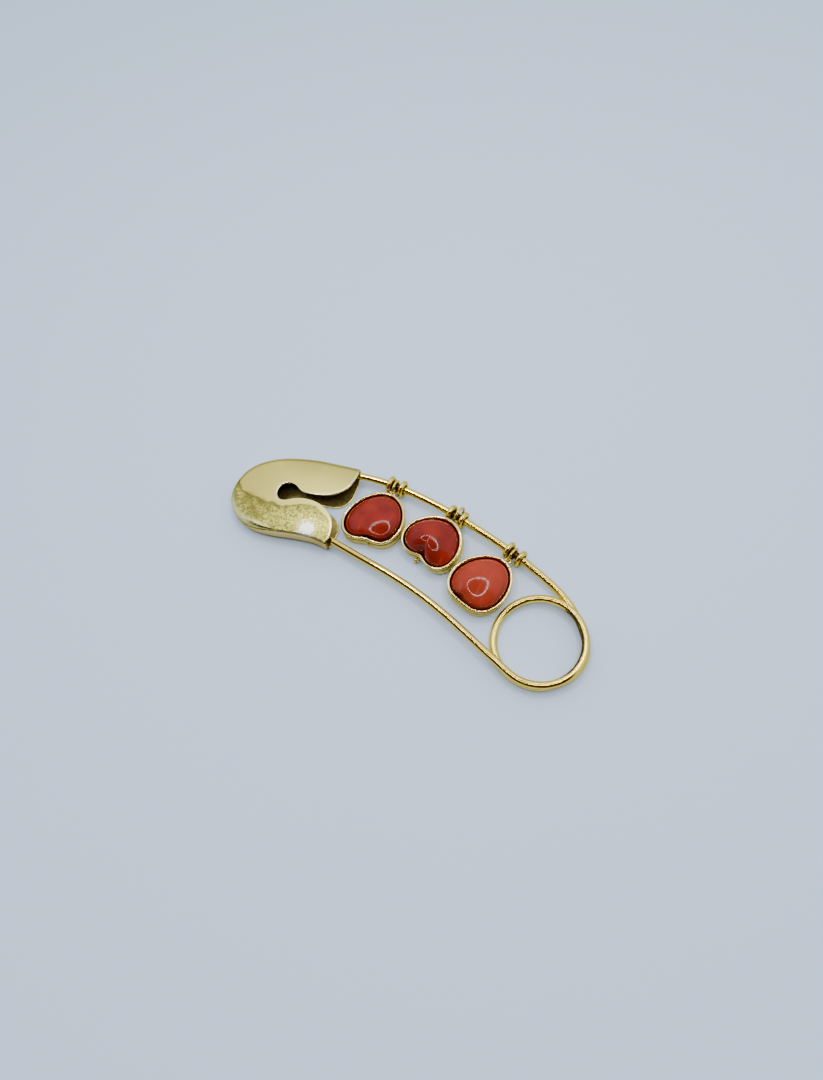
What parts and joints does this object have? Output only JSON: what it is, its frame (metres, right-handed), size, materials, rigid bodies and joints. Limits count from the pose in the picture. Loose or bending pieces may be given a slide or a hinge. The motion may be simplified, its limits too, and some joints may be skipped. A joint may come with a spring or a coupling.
{
  "type": "safety-pin brooch",
  "caption": "Gold safety-pin brooch: a one-piece spring wire with a coil, a folded clasp cap with a keyhole slot, and coral hearts in bezels hung from the fixed leg between stop rings.",
  "frame": {"origin": "centre of the brooch's outline, on the surface it lies on with its back down", "axes": "+X along the brooch from the clasp cap to the coil, +Y from the pin leg to the fixed leg that holds the hearts, +Z out of the front"},
  "size_m": [0.0759, 0.027, 0.0054],
  "materials": {
    "gold": "polished yellow gold, with fine wear on the cap's front",
    "coral": "polished deep red coral",
    "coral_orange": "polished orange-red coral"
  },
  "bodies": {
    "root": {"clasp_cap": "gold", "spring_wire": "gold", "setting_1": "gold", "setting_2": "gold", "setting_3": "gold", "coral_heart_1": "coral", "coral_heart_2": "coral", "coral_heart_3": "coral_orange", "jump_ring_1": "gold", "jump_ring_2": "gold", "jump_ring_3": "gold", "stop_ring_1a": "gold", "stop_ring_1b": "gold", "stop_ring_2a": "gold", "stop_ring_2b": "gold", "stop_ring_3a": "gold", "stop_ring_3b": "gold"}
  },
  "joints": []
}
